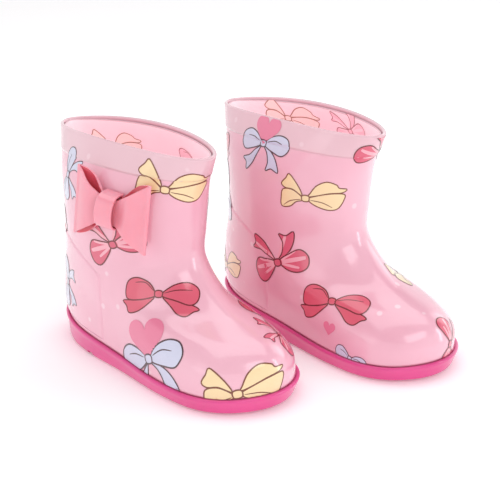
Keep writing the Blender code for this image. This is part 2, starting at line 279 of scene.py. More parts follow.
def relief(level, angle):
    """Height of the collar band and of the heel counter over the skin."""
    band = BAND_RELIEF * smooth_step((level - BAND_FROM) / BAND_RAMP)
    turn = (angle + math.pi) % (2 * math.pi) - math.pi
    across = abs(turn) / counter_edge(np.minimum(level, COUNTER_PEAK))
    side = smooth_step((1 - across) / COUNTER_SIDE_RAMP)
    top = smooth_step((counter_top(across) - level) / COUNTER_TOP_RAMP)
    return band + COUNTER_RELIEF * side * top


def ring_angles():
    return np.arange(AROUND) * 2 * math.pi / AROUND


def outline_ring(grow, height):
    """The foot outline, grown outward, at a height that depends on the place along the foot."""
    angle = ring_angles()
    fore = foreness(angle)
    u = (2 * fore - 1) * (FOOT_HALF_LENGTH + grow)
    v = np.sin(angle) * outline_factor(fore) * (FOOT_HALF_WIDTH + grow)
    return np.stack([u, v + TOE_SWING * fore**3, height(fore)], -1)


# ---------------------------------------------------------------- mesh helpers

def side_faces(rows, columns, closed):
    faces = []
    for row in range(rows - 1):
        for column in range(columns if closed else columns - 1):
            after = (column + 1) % columns
            low, high = row * columns, (row + 1) * columns
            faces.append((low + column, high + column, high + after, low + after))
    return faces


def strip_caps(first, count, faces_up):
    """Strips across a ring whose points i and count - i lie opposite each other."""
    faces = []
    for i in range(count // 2):
        corners = [i, i + 1, count - i - 1, (count - i) % count]
        corners = list(dict.fromkeys(first + corner for corner in corners))
        faces.append(tuple(reversed(corners) if faces_up else corners))
    return faces


def ring_bridge(last):
    """Faces between the first ring and the ring whose points start at last."""
    return [(i, (i + 1) % AROUND, last + (i + 1) % AROUND, last + i) for i in range(AROUND)]


class Boot:
    """One boot: its side, and its place in the frame."""

    def __init__(self, name, side):
        self.name = name
        self.side = side
        self.rivet_angle = RIVET_ANGLES[name]
        heel_rest = [m for m in frame["record"]["mounts"] if m["name"] == name + "_heel_rest"][0]
        low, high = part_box(name + "_outsole")
        self.x = heel_rest["pos_m"][0]
        self.y = (low[1] + high[1]) / 2

    def world(self, points):
        points = np.asarray(points, float)
        x = self.x - self.side * points[..., 1] * MM
        return np.stack([x, self.y - points[..., 0] * MM, points[..., 2] * MM], -1)

    def mesh(self, name, points, faces, body, nodes=(), slot="upper_pvc"):
        """A piece in boot coordinates, riding on a body and standing for CAD nodes."""
        data = bpy.data.meshes.new(self.name + "_" + name)
        if self.side > 0:
            faces = [tuple(reversed(face)) for face in faces]
        data.from_pydata(self.world(np.reshape(points, (-1, 3))).tolist(), [], faces)
        data.shade_smooth()
        piece = bpy.data.objects.new(self.name + "_" + name, data)
        bpy.context.scene.collection.objects.link(piece)
        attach(piece, f"{self.name}_{body}")
        if nodes:
            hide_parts(*[f"{self.name}_{node}" for node in nodes])
        return piece


def paint(piece, material):
    piece.data.materials.clear()
    piece.data.materials.append(material)


# ---------------------------------------------------------------- materials

def linear(colour):
    """A colour in 0..255 screen values, as scene-linear RGB with alpha."""
    shares = [c / 255 for c in colour]
    rgb = [c / 12.92 if c <= 0.04045 else ((c + 0.055) / 1.055) ** 2.4 for c in shares]
    return (*rgb, 1.0)


class Surface:
    """A Principled material with helpers for its colour and bump nodes."""

    def __init__(self, name, colour, roughness, **settings):
        self.material = bpy.data.materials.new(name)
        self.material.use_nodes = True
        self.nodes = self.material.node_tree.nodes
        self.links = self.material.node_tree.links
        self.shader = self.nodes["Principled BSDF"]
        self.colour = linear(colour)
        self.shader.inputs["Base Color"].default_value = self.colour
        self.shader.inputs["Roughness"].default_value = roughness
        for socket, value in settings.items():
            self.shader.inputs[socket.replace("_", " ")].default_value = value
        self.material.diffuse_color = self.colour
        self.place = None
        self.height = None

    def coordinates(self):
        if self.place is None:
            self.place = self.nodes.new("ShaderNodeTexCoord").outputs["Object"]
        return self.place

    def texture(self, kind, **inputs):
        node = self.nodes.new(kind)
        self.links.new(self.coordinates(), node.inputs["Vector"])
        for socket, value in inputs.items():
            node.inputs[socket].default_value = value
        return node

    def ramp(self, value, low, high):
        node = self.nodes.new("ShaderNodeMapRange")
        node.interpolation_type = "SMOOTHSTEP"
        node.inputs["From Min"].default_value = low
        node.inputs["From Max"].default_value = high
        self.links.new(value, node.inputs["Value"])
        return node.outputs["Result"]

    def blend_colour(self, amount, colour):
        """Mixes another colour into the base colour by a 0..1 value."""
        mix = self.nodes.new("ShaderNodeMix")
        mix.data_type = "RGBA"
        base = self.shader.inputs["Base Color"]
        if base.is_linked:
            self.links.new(base.links[0].from_socket, mix.inputs["A"])
        else:
            mix.inputs["A"].default_value = self.colour
        mix.inputs["B"].default_value = linear(colour)
        self.links.new(amount, mix.inputs["Factor"])
        self.links.new(mix.outputs["Result"], base)

    def bump(self, value, depth_mm):
        """Adds a height, in millimetres for a value of 0..1, to the surface."""
        node = self.nodes.new("ShaderNodeBump")
        node.inputs["Distance"].default_value = depth_mm * MM
        self.links.new(value, node.inputs["Height"])
        if self.height is not None:
            self.links.new(self.height, node.inputs["Normal"])
        self.height = node.outputs["Normal"]
        self.links.new(self.height, self.shader.inputs["Normal"])


PVC_GLOSS = {"Coat_Weight": 1.0, "Coat_Roughness": 0.11, "IOR": 1.5}
# Strength of the painted glow, an emission given to the lining and to the inside prints
GLOW = 0.22

# The clear upper over its film: base, clouding and dot colours
UPPER = ((246, 188, 205), (241, 176, 195), (250, 210, 221))
COLLAR_TINT = ((237, 196, 206), (233, 188, 199), (242, 206, 215))


def upper_material(name, colours):
    """Clear soft PVC over a pale pink film: glossy, faintly uneven, with small pale dots."""
    base, clouding, dot = colours
    surface = Surface(name, base, 0.22, **PVC_GLOSS)
    cloud = surface.texture("ShaderNodeTexNoise", Scale=16.0, Detail=3.0).outputs["Fac"]
    surface.blend_colour(surface.ramp(cloud, 0.35, 0.75), clouding)
    dots = surface.texture("ShaderNodeTexVoronoi", Scale=62.0, Randomness=0.75)
    surface.blend_colour(surface.ramp(dots.outputs["Distance"], 0.13, 0.07), dot)
    surface.bump(surface.texture("ShaderNodeTexNoise", Scale=28.0, Detail=1.0).outputs["Fac"], 0.7)
    return surface.material


def paint_glow(surface):
    """Painted glow: emission in the surface's own colour, standing in for daylight through the thin
    pale wall.
    """
    surface.shader.inputs["Emission Color"].default_value = surface.colour
    surface.shader.inputs["Emission Strength"].default_value = GLOW


def lining_material():
    surface = Surface("printed_film_inside", (250, 224, 230), 0.4, Coat_Weight=0.3, Coat_Roughness=0.2)
    cloud = surface.texture("ShaderNodeTexNoise", Scale=22.0, Detail=4.0).outputs["Fac"]
    surface.blend_colour(surface.ramp(cloud, 0.3, 0.8), (246, 214, 222))
    # painted glow: an emission that stands in for light coming through the wall
    paint_glow(surface)
    knit = surface.texture("ShaderNodeTexVoronoi", Scale=900.0).outputs["Distance"]
    surface.bump(knit, 0.05)
    return surface.material


def sole_material():
    surface = Surface("sole_pvc", (233, 74, 148), 0.3, Coat_Weight=0.5, Coat_Roughness=0.16, IOR=1.5)
    cloud = surface.texture("ShaderNodeTexNoise", Scale=24.0, Detail=4.0).outputs["Fac"]
    surface.blend_colour(surface.ramp(cloud, 0.35, 0.8), (221, 62, 136))
    surface.bump(surface.texture("ShaderNodeTexNoise", Scale=700.0, Detail=2.0).outputs["Fac"], 0.05)
    surface.bump(surface.texture("ShaderNodeTexNoise", Scale=36.0).outputs["Fac"], 0.3)
    return surface.material


def bow_material(name, colour, shade):
    surface = Surface(name, colour, 0.3, Coat_Weight=0.55, Coat_Roughness=0.14, IOR=1.48)
    surface.shader.inputs["Subsurface Weight"].default_value = 0.25
    surface.shader.inputs["Subsurface Radius"].default_value = (1.0, 0.35, 0.3)
    surface.shader.inputs["Subsurface Scale"].default_value = 0.002
    cloud = surface.texture("ShaderNodeTexNoise", Scale=40.0, Detail=3.0).outputs["Fac"]
    surface.blend_colour(surface.ramp(cloud, 0.35, 0.75), shade)
    surface.bump(surface.texture("ShaderNodeTexNoise", Scale=60.0).outputs["Fac"], 0.25)
    surface.bump(surface.texture("ShaderNodeTexNoise", Scale=1400.0, Detail=2.0).outputs["Fac"], 0.02)
    return surface.material


def foam_material():
    surface = Surface("insole_foam", (236, 222, 218), 0.9)
    cells = surface.texture("ShaderNodeTexVoronoi", Scale=1300.0).outputs["Distance"]
    surface.blend_colour(surface.ramp(cells, 0.2, 0.7), (214, 196, 194))
    surface.bump(cells, 0.15)
    return surface.material


def cloth_material():
    """Brushed knitted cloth: rows of loops, fuzz and a little sheen."""
    surface = Surface("insole_cloth", (243, 184, 202), 0.95, Sheen_Weight=0.6, Sheen_Roughness=0.5)
    rows = surface.texture("ShaderNodeTexWave", Scale=420.0, Distortion=3.0, Detail=2.0)
    surface.blend_colour(surface.ramp(rows.outputs["Fac"], 0.2, 0.9), (230, 160, 184))
    surface.bump(rows.outputs["Fac"], 0.12)
    surface.bump(surface.texture("ShaderNodeTexNoise", Scale=2400.0, Detail=3.0).outputs["Fac"], 0.1)
    return surface.material


def rivet_material():
    surface = Surface("rivet_plastic", (238, 130, 150), 0.35, Coat_Weight=0.3, Coat_Roughness=0.2)
    surface.bump(surface.texture("ShaderNodeTexNoise", Scale=500.0, Detail=2.0).outputs["Fac"], 0.04)
    return surface.material


# ---------------------------------------------------------------- upper, sole and insole

def skin_rows(path):
    """Rings of the skin for (level, inset) pairs; a negative inset stands out."""
    angles = ring_angles()[None, :]
    levels = np.array([level for level, inset in path])[:, None]
    insets = np.array([inset for level, inset in path])[:, None]
    level, angle = np.broadcast_arrays(levels, angles)
    return raised(level, angle, -np.broadcast_to(insets, level.shape))


def rolled_rim(level, outer, inner, steps=RIM_STEPS):
    """Rings that roll over the top edge of a wall, from its outer to its inner face."""
    radius = (inner - outer) / 2
    angles = ring_angles()
    levels = np.full(AROUND, level)
    upward = unit(slopes(levels, angles)[0])
    rings = []
    for turn in np.linspace(0.0, math.pi, steps + 2)[1:-1]:
        inset = np.full(AROUND, outer + radius * (1 - math.cos(turn)))
        rings.append(raised(levels, angles, -inset) + upward * radius * math.sin(turn))
    return np.array(rings)


def wall(boot, name, outer, inner, top, body, node, slot, floor=None):
    """A wall of the boot between two insets, with a rolled top edge."""
    outside = skin_rows([(level, outer) for level in np.linspace(0.0, top, OUTER_RINGS)])
    inside = skin_rows([(level, inner) for level in np.linspace(top, 0.0, INNER_RINGS)])
    if floor:
        floor(outside[0], inside[-1])
    rings = np.concatenate([outside, rolled_rim(top, outer, inner), inside])
    faces = side_faces(len(rings), AROUND, True)
    last = (len(rings) - 1) * AROUND
    if floor:
        faces += strip_caps(0, AROUND, False) + strip_caps(last, AROUND, True)
    else:
        faces += ring_bridge(last)
    return boot.mesh(name, rings, faces, body, [node], slot)


def upper(boot, materials):
    """The clear upper, whose rim and inner face take the paler tint of the collar."""
    piece = wall(boot, "upper", 0.0, SHELL_WALL, COLLAR, "boot", "shell", "upper_pvc")
    for material in materials:
        piece.data.materials.append(material)
    outside = (OUTER_RINGS - 1) * AROUND
    slots = [int(face.index >= outside) for face in piece.data.polygons]
    piece.data.polygons.foreach_set("material_index", slots)


def lining(boot, film, collar):
    """The printed film's inner side, with the clear rim of the collar."""
    outer = SHELL_WALL + GAP
    ground = sole_top(foreness(ring_angles()))

    def floor(outside, inside):
        outside[:, 2] = ground + GAP
        inside[:, 2] = ground + GAP + LINING_WALL

    piece = wall(boot, "lining", outer, outer + LINING_WALL, LINING_TOP, "boot", "printed_sock",
                 "printed_film", floor=floor)
    for material in (collar, film):
        piece.data.materials.append(material)
    outside = (OUTER_RINGS + RIM_STEPS) * AROUND
    slots = [int(face.index >= outside) for face in piece.data.polygons]
    piece.data.polygons.foreach_set("material_index", slots)


def collar_band(boot, material):
    """The thickened band round the collar, rolled over the rim."""
    levels = np.concatenate([
        np.linspace(BAND_FROM - BAND_LAP, BAND_FROM + 0.045, 8),
        np.linspace(BAND_FROM + 0.08, COLLAR, 16),
    ])
    angles = ring_angles()
    outer = np.array([
        raised(np.full(AROUND, level), angles,
               np.full(AROUND, float(relief(level, math.pi)) + BAND_STANDOFF))
        for level in levels
    ])
    roll = rolled_rim(COLLAR, -BAND_RELIEF - BAND_STANDOFF, BAND_INSET, steps=BAND_RIM_STEPS)
    inner = skin_rows([(level, BAND_INSET) for level in (COLLAR, BAND_FROM - BAND_LAP)])
    rings = np.concatenate([outer, roll, inner])
    faces = side_faces(len(rings), AROUND, True)
    faces += ring_bridge((len(rings) - 1) * AROUND)
    piece = boot.mesh("collar_band", rings, faces, "boot", ["topline_band"])
    paint(piece, material)


def spaced(edge, count):
    """Shares from 0 to 1 with extra ones close to both ends."""
    rim = np.array([0.0, 0.25, 0.5, 0.75, 1.0]) * edge
    return np.concatenate([rim, np.linspace(edge, 1 - edge, count)[1:-1], 1 - rim[::-1]])


def heel_panel(boot, material):
    """The raised heel counter with soft edges."""
    over, up = spaced(PANEL_SIDE_EDGE, PANEL_COLUMNS), spaced(PANEL_TOP_EDGE, PANEL_ROWS)
    across = over * 2 - 1
    level = COUNTER_FROM + (counter_top(across)[None, :] - COUNTER_FROM) * up[:, None]
    angle = across[None, :] * counter_edge(level)
    edge_across = smooth_step(np.minimum(over, 1 - over) / PANEL_SIDE_EDGE)
    edge_up = smooth_step(np.minimum(up, 1 - up) / PANEL_TOP_EDGE)
    height = (COUNTER_RELIEF + PANEL_PROUD) * edge_across[None, :] * edge_up[:, None] - PANEL_SUNK
    front = raised(level, angle, height)
    back = raised(level, angle, np.full(level.shape, -PANEL_BACK))
    rows, columns = level.shape
    count = rows * columns
    faces = side_faces(rows, columns, False)
    faces += [tuple(count + corner for corner in reversed(face)) for face in faces]
    border = list(range(columns))
    border += [row * columns + columns - 1 for row in range(1, rows)]
    border += [(rows - 1) * columns + column for column in range(columns - 2, -1, -1)]
    border += [row * columns for row in range(rows - 2, 0, -1)]
    for i, corner in enumerate(border):
        after = border[(i + 1) % len(border)]
        faces.append((corner, after, after + count, corner + count))
    piece = boot.mesh("heel_panel", np.concatenate([front.reshape(-1, 3), back.reshape(-1, 3)]),
                      faces, "boot", ["heel_counter"])
    paint(piece, material)


def plate(boot, name, profile, body, node, slot):
    """A solid lofted through outline rings: (outward, height, height above what)."""
    rings = [outline_ring(grow, lambda fore, e=edge, h=height: e(fore) + h)
             for grow, height, edge in profile]
    faces = side_faces(len(rings), AROUND, True)
    faces += strip_caps(0, AROUND, False)
    faces += strip_caps((len(rings) - 1) * AROUND, AROUND, True)
    return boot.mesh(name, np.array(rings), faces, body, [node], slot)


def sole(boot, material):
    """The moulded sole: rounded ground edge, slightly hollow wall and a lip at the top."""
    lower = [(-3.0, 0.0), (-2.2, 0.05), (-1.3, 0.35), (-0.7, 0.9), (-0.3, 1.8), (0.1, 2.9)]
    upper_part = [(0.8, -4.4), (1.1, -3.5), (1.4, -2.8), (1.7, -2.1), (1.88, -1.5), (1.9, -1.0),
                  (1.75, -0.5), (1.4, -0.15), (0.95, 0.0), (0.4, -0.05), (0.1, -0.3), (-0.6, -0.35)]
    profile = [(grow, height, sole_bottom) for grow, height in lower]
    profile += [(grow, height, sole_top) for grow, height in upper_part]
    piece = plate(boot, "sole", profile, "boot", "outsole", "sole_pvc")
    cut_treads(boot, piece)
    paint(piece, material)


def cut_treads(boot, piece):
    """Grooves across the underside, and the step in front of the heel block."""
    grooves = []
    for u in HEEL_TREADS + FOREFOOT_TREADS:
        fore = foreness_at(u)
        half_width = FOOT_HALF_WIDTH * outline_factor(fore) * 2 * math.sqrt(fore * (1 - fore))
        grooves.append((u, TREAD_WIDTH, float(half_width) - TREAD_MARGIN))
    grooves.append((ARCH_STEP, ARCH_STEP_WIDTH, 2 * FOOT_HALF_WIDTH))
    for number, (u, width, half_length) in enumerate(grooves):
        fore = foreness_at(u)
        top = float(sole_bottom(fore)) + TREAD_DEPTH
        bpy.ops.mesh.primitive_cube_add(size=1)
        cutter = bpy.context.object
        cutter.name = f"{boot.name}_groove_{number}"
        cutter.scale = (2 * half_length * MM, width * MM, 2 * top * MM)
        cutter.location = boot.world(np.array([u, TOE_SWING * fore**3, 0.0]))
        boolean = piece.modifiers.new(cutter.name, "BOOLEAN")
        boolean.operation = "DIFFERENCE"
        boolean.object = cutter
    settle(piece)
    for cutter in [o for o in bpy.data.objects if o.name.startswith(boot.name + "_groove_")]:
        bpy.data.objects.remove(cutter)


def settle(piece):
    """Applies a piece's modifiers to its mesh."""
    bpy.context.view_layer.update()
    evaluated = piece.evaluated_get(bpy.context.evaluated_depsgraph_get())
    mesh = bpy.data.meshes.new_from_object(evaluated)
    piece.modifiers.clear()
    piece.data = mesh
    mesh.shade_smooth()
    mesh.set_sharp_from_angle(angle=math.radians(50))


def insole(boot, foam, cloth):
    """The foam bed, and its cloth cover with a soft edge."""
    bed = 2 * GAP + LINING_WALL
    cover = bed + FOAM_THICKNESS + GAP
    inset = -INSOLE_INSET
    bed_profile = [(inset - 0.4, bed), (inset, bed + 0.4), (inset, bed + FOAM_THICKNESS - 0.4),
                   (inset - 0.4, bed + FOAM_THICKNESS)]
    cover_profile = [(inset - 0.2, cover), (inset, cover + 0.2), (inset - 0.1, cover + 0.45),
                     (inset - 0.5, cover + CLOTH_THICKNESS)]
    bed_piece = plate(boot, "insole_bed", [(g, h, sole_top) for g, h in bed_profile],
                      "insole", "insole_foam", "insole_foam")
    cover_piece = plate(boot, "insole_cover", [(g, h, sole_top) for g, h in cover_profile],
                        "insole", "insole_cloth", "insole_cloth")
    paint(bed_piece, foam)
    paint(cover_piece, cloth)


# ---------------------------------------------------------------- moulded bow

def bow_frame(boot):
    centre = skin(RIVET_LEVEL, boot.rivet_angle)
    outward = skin_normal(RIVET_LEVEL, boot.rivet_angle)
    level_forward = unit(np.cross((0.0, 0.0, 1.0), outward))
    upright = np.cross(outward, level_forward)
    forward = level_forward * math.cos(BOW_TILT) - upright * math.sin(BOW_TILT)
    return centre, forward, np.cross(outward, forward), outward


def bow_point(boot, forward, up, outward):
    centre, along, upward, normal = bow_frame(boot)
    return centre + along * forward + upward * up + normal * outward


def loop_half_height(share, bulge):
    """Low inside the knot, flared towards the end; bulge widens the middle of the flare."""
    flare = max(share - BOW_FLARE_FROM, 0.0) / (1 - BOW_FLARE_FROM)
    height = BOW_WAIST_HALF_HEIGHT + (BOW_END_HALF_HEIGHT - BOW_WAIST_HALF_HEIGHT) * flare
    return height + bulge * math.sin(flare * math.pi)


def loop_path():
    """The strip's middle line from above: (share of the half length, half height, outward)."""
    shares = np.linspace(0.0, 1 - 2 * FOLD_RADIUS / BOW_HALF_LENGTH, LOOP_STEPS + 1)
    front = [(s, loop_half_height(s, 0.0), float(through(BOW_AT, BOW_FRONT, s))) for s in shares]
    rear = [(s, loop_half_height(s, BOW_REAR_BULGE), float(through(BOW_AT, BOW_REAR, s)))
            for s in shares[::-1]]
    fold = []
    for turn in np.linspace(math.pi / 2, -math.pi / 2, FOLD_STEPS)[1:-1]:
        share = 1 - (1 - math.cos(turn)) * FOLD_RADIUS / BOW_HALF_LENGTH
        outward = BOW_FRONT[-1] + FOLD_RADIUS * math.sin(turn)
        fold.append((share, loop_half_height(share, 0.0), outward))
    half = front + fold + rear
    other = [(-share, height, outward) for share, height, outward in reversed(half[1:-1])]
    return half + other


def strip(boot, name, points, rows, node, wall_mm, materials):
    """A closed band of even thickness with rounded edges; its inner side takes a deeper coral, painted
    shade that darkens the slit under the knot.
    """
    columns = len(points) // rows
    piece = boot.mesh(name, points, side_faces(rows, columns, True), "bow", [node], "bow_pvc")
    solidify = piece.modifiers.new("Wall", "SOLIDIFY")
    solidify.thickness = wall_mm * MM
    solidify.offset = 0
    solidify.use_even_offset = True
    # the original faces keep the first material, a deeper coral that is painted shade; the offset
    # faces and the rims take the bow's own pink
    solidify.material_offset = 1
    solidify.material_offset_rim = 1
    bevel = piece.modifiers.new("Soft edge", "BEVEL")
    bevel.width = wall_mm * EDGE_ROUNDING * MM
    bevel.segments = 3
    bevel.limit_method = "ANGLE"
    bevel.angle_limit = math.radians(60)
    for material in materials:
        piece.data.materials.append(material)
    settle(piece)
    piece.data.shade_smooth()


def bow(boot, materials):
    """The strip with its two loops, and the domed band round its waist."""
    path = loop_path()
    points = [
        bow_point(boot, share * BOW_HALF_LENGTH, row * half_height, outward)
        for row in np.linspace(-1.0, 1.0, LOOP_ROWS)
        for share, half_height, outward in path
    ]
    strip(boot, "bow_strip", points, LOOP_ROWS, "bow_loops", BOW_WALL, materials)
    half = KNOT_HALF_HEIGHT
    band = []
    for i in range(KNOT_DOME_STEPS + 1):
        turn = math.pi * i / KNOT_DOME_STEPS
        lift = abs(math.sin(turn)) ** KNOT_SQUARENESS
        band.append((half * math.cos(turn), KNOT_BACK + (KNOT_FRONT - KNOT_BACK) * lift))
    band += [(up, KNOT_BACK) for up in np.linspace(-half, half, KNOT_BACK_STEPS)[1:-1]]
    points = [
        bow_point(boot, KNOT_HALF_WIDTH * side, up, outward)
        for side in np.linspace(-1.0, 1.0, KNOT_ROWS)
        for up, outward in band
    ]
    strip(boot, "bow_band", points, KNOT_ROWS, "bow_knot", KNOT_WALL, materials)


# ---------------------------------------------------------------- printed motifs

INKS = {
    "yellow": (250, 222, 172), "yellow_line": (124, 62, 36),
    "red": (226, 92, 116), "red_line": (112, 30, 36),
    "rose": (224, 92, 120), "rose_pale": (248, 176, 190),
    "blue": (212, 214, 236), "blue_line": (80, 52, 62),
    "blush": (236, 128, 160),
}
# How far each layer of a motif lies over the skin, in millimetres
FLAP_LIFT, FLAP_STRIPE_LIFT = 0.10, 0.12
LOOP_LIFT, LOOP_STRIPE_LIFT = 0.16, 0.18
FOLD_LIFT, HEART_LIFT, KNOT_LIFT = 0.19, 0.2, 0.21
LINE_LIFT = 0.03

# Drawn shapes, in millimetres from the middle of the bow's knot
FLAPPED = {
    "right flap": [(2.2, 1.2), (2.8, 3.4), (6.4, 8.0), (12.0, 10.4), (17.4, 8.6), (18.8, 6.6),
                   (23.4, 5.4), (20.6, 3.6), (13.0, 3.4)],
    "right loop": [(2.2, 0.6), (12.6, 3.2), (21.6, 2.6), (21.4, -1.2), (18.0, -5.8),
                   (12.6, -6.4), (6.2, -4.2), (2.2, -1.6)],
    "right fold": [(2.8, -0.8), (9.4, -2.0), (15.0, -5.0)],
    "left flap": [(-2.0, 1.4), (-4.4, 7.0), (-9.8, 13.0), (-12.0, 10.4), (-14.6, 7.0),
                  (-12.2, 4.8), (-7.4, 4.4)],
    "left loop": [(-2.0, 0.6), (-7.4, 4.2), (-13.4, 3.8), (-14.6, -1.2), (-14.2, -6.2),
                  (-9.2, -5.8), (-5.4, -2.6), (-2.0, -1.4)],
    "left fold": [(-2.6, -0.8), (-8.8, -2.4), (-13.0, -5.6)],
}
DROOPED = {
    "right flap": [(2.2, -1.2), (7.0, -6.0), (11.4, -10.2), (16.0, -11.2), (19.6, -8.4),
                   (22.6, -6.8), (19.0, -4.8), (9.4, -3.0)],
    "right loop": [(2.2, 0.8), (8.4, 5.4), (15.6, 7.2), (21.0, 4.4), (21.2, -1.8), (17.4, -4.8),
                   (9.6, -3.0), (2.2, -1.2)],
    "right fold": [(3.0, 0.6), (9.6, 2.6), (17.8, 3.4)],
    "left flap": [(-2.2, -1.6), (-9.0, -3.4), (-17.0, -4.0), (-21.4, -4.6), (-19.0, -7.2),
                  (-17.4, -10.6), (-11.4, -9.6), (-5.6, -5.4)],
    "left loop": [(-2.2, 1.2), (-5.8, 5.8), (-12.6, 8.0), (-17.8, 5.6), (-19.4, -0.8),
                  (-17.4, -3.8), (-9.6, -3.4), (-2.2, -1.4)],
    "left fold": [(-3.0, 1.6), (-7.6, 5.6), (-13.4, 5.4)],
}
TAILED = {
    "right flap": [(0.6, -1.0), (4.4, -4.6), (6.4, -9.6), (5.6, -14.4), (9.4, -12.6),
                   (14.4, -13.8), (12.6, -8.6), (8.6, -4.2), (2.6, -1.2)],
    "right loop": [(1.6, 1.0), (6.0, 5.0), (12.0, 6.8), (17.2, 5.2), (18.6, 0.0), (14.8, -4.2),
                   (8.0, -3.2), (1.8, -1.2)],
    "right fold": [(3.0, 1.2), (8.6, 3.0), (13.6, 2.2)],
    "left flap": [(-0.6, -1.0), (-5.0, -4.4), (-8.6, -8.2), (-13.8, -10.4), (-10.8, -12.6),
                  (-10.0, -16.8), (-5.4, -12.4), (-3.0, -7.0), (-1.2, -2.0)],
    "left loop": [(-1.6, 1.0), (-6.4, 5.4), (-12.4, 8.6), (-16.4, 6.2), (-16.8, 0.4),
                  (-12.6, -4.2), (-7.0, -3.0), (-1.8, -1.2)],
    "left fold": [(-3.0, 1.2), (-8.0, 4.0), (-12.8, 4.4)],
}
LEVEL_TAILED = dict(TAILED)
LEVEL_TAILED["left loop"] = [(-1.6, 1.2), (-6.4, 4.8), (-12.0, 6.4), (-17.0, 4.0), (-17.8, -1.4),
                             (-13.8, -5.4), (-7.4, -4.0), (-1.8, -1.2)]
LEVEL_TAILED["left fold"] = [(-3.0, 0.8), (-8.0, 2.4), (-13.2, 2.4)]
KNOT = [(-1.9, 1.4), (0.0, 1.9), (1.9, 1.4), (2.2, 0.0), (1.8, -1.5), (0.0, -1.9), (-1.8, -1.5),
        (-2.2, 0.0)]


def curve_through(points, closed, step):
    """An evenly stepped smooth curve through drawn points."""
    points = np.asarray(points, float)
    count = len(points)
    spans = count if closed else count - 1
    drawn = []
    for i in range(spans):
        if closed:
            a, b, c, d = (points[(i + k) % count] for k in (-1, 0, 1, 2))
        else:
            a, b, c, d = (points[min(max(i + k, 0), count - 1)] for k in (-1, 0, 1, 2))
        for t in np.linspace(0.0, 1.0, 13)[:-1]:
            drawn.append(0.5 * (2 * b + (c - a) * t + (2 * a - 5 * b + 4 * c - d) * t**2
                                + (3 * b - a - 3 * c + d) * t**3))
    drawn.append(points[0] if closed else points[-1])
    drawn = np.array(drawn)
    run = np.concatenate([[0.0], np.cumsum(np.linalg.norm(np.diff(drawn, axis=0), axis=1))])
    steps = max(4, int(round(run[-1] / step)))
    at = np.linspace(0.0, run[-1], steps + 1)
    even = np.stack([np.interp(at, run, drawn[:, 0]), np.interp(at, run, drawn[:, 1])], -1)
    return even[:-1] if closed else even


class Artwork:
    """Flat drawings, gathered in millimetres and then laid on a boot."""

    def __init__(self):
        self.points = []
        self.lifts = []
        self.faces = []
        self.inks = []

    def add(self, points, faces, ink, lift):
        first = len(self.points)
        self.points += [tuple(p) for p in points]
        self.lifts += [lift] * len(points)
        self.faces += [tuple(first + corner for corner in face) for face in faces]
        self.inks += [ink] * len(faces)

    def fill(self, outline, ink, lift):
        """A filled shape, as rings round its middle."""
        edge = curve_through(outline, True, PRINT_STEP)
        turn = np.roll(edge, -1, axis=0)
        if np.sum(edge[:, 0] * turn[:, 1] - edge[:, 1] * turn[:, 0]) < 0:
            edge = edge[::-1]
        centre = edge.mean(axis=0)
        rings = max(2, math.ceil(np.linalg.norm(edge - centre, axis=1).max() / PRINT_STEP))
        points = [centre]
        for ring in range(1, rings + 1):
            points += list(centre + (edge - centre) * ring / rings)
        count = len(edge)
        faces = [(0, 1 + i, 1 + (i + 1) % count) for i in range(count)]
        for ring in range(rings - 1):
            low = 1 + ring * count
            for i in range(count):
                after = (i + 1) % count
                faces.append((low + i, low + count + i, low + count + after, low + after))
        self.add(points, faces, ink, lift)

    def line(self, points, ink, lift, width=0.66, closed=False, taper=0.35):
        """A drawn line; an open one thins out at its ends."""
        path = curve_through(points, closed, LINE_STEP)
        if closed:
            direction = np.roll(path, -1, axis=0) - np.roll(path, 1, axis=0)
            half = np.full(len(path), width / 2)
        else:
            direction = np.gradient(path, axis=0)
            run = np.linspace(0.0, 1.0, len(path))
            half = width / 2 * (taper + (1 - taper) * np.sqrt(np.sin(run * math.pi)))
        across = unit(np.stack([-direction[:, 1], direction[:, 0]], -1))
        left, right = path + across * half[:, None], path - across * half[:, None]
        count = len(path)
        faces = []
        for i in range(count if closed else count - 1):
            after = (i + 1) % count
            faces.append((i, count + i, count + after, after))
        self.add(list(left) + list(right), faces, ink, lift)

    def shape(self, outline, ink, line_ink, lift):
        self.fill(outline, ink, lift)
        self.line(outline, line_ink, lift + LINE_LIFT, closed=True)


def draw_bow(art, shapes, ink, line_ink, up=1, stripe=None):
    """A ribbon bow: two flaps under two loops, fold lines or stripes, and the knot."""
    def placed(points):
        return [(x, y * up) for x, y in points]

    for end in ("left", "right"):
        flap, loop = placed(shapes[end + " flap"]), placed(shapes[end + " loop"])
        art.shape(flap, ink, line_ink, FLAP_LIFT)
        if stripe:
            tip = (np.mean(flap[3:6], axis=0) * 0.93).tolist()
            art.line([flap[0], (np.mean([flap[0], tip], axis=0) * 1.08).tolist(), tip], stripe,
                     FLAP_STRIPE_LIFT, width=1.9, taper=0.6)
        art.shape(loop, ink, line_ink, LOOP_LIFT)
        if stripe:
            tip = np.array(loop[len(loop) // 2])
            for turn, width in ((0.34, 1.6), (-0.02, 2.2), (-0.36, 1.4)):
                turn = turn if end == "right" else -turn
                way = np.array((tip[0] * math.cos(turn) - tip[1] * math.sin(turn),
                                tip[0] * math.sin(turn) + tip[1] * math.cos(turn)))
                reach = 0.72 + 0.2 * (abs(turn) < 0.1)
                band = [way * 0.16, way * 0.5 * (1 + 0.1 * abs(turn)), way * reach]
                art.line([tuple(p) for p in band], stripe, LOOP_STRIPE_LIFT, width=width, taper=0.6)
        else:
            art.line(placed(shapes[end + " fold"]), line_ink, FOLD_LIFT, width=0.55)
    art.shape(placed(KNOT), ink, line_ink, KNOT_LIFT)


def heart(width):
    turns = np.linspace(0.0, 2 * math.pi, 25)[:-1]
    x = 16 * np.sin(turns) ** 3
    y = 13 * np.cos(turns) - 5 * np.cos(2 * turns) - 2 * np.cos(3 * turns) - np.cos(4 * turns)
    return list(np.stack([x, y], -1) * width / 32)


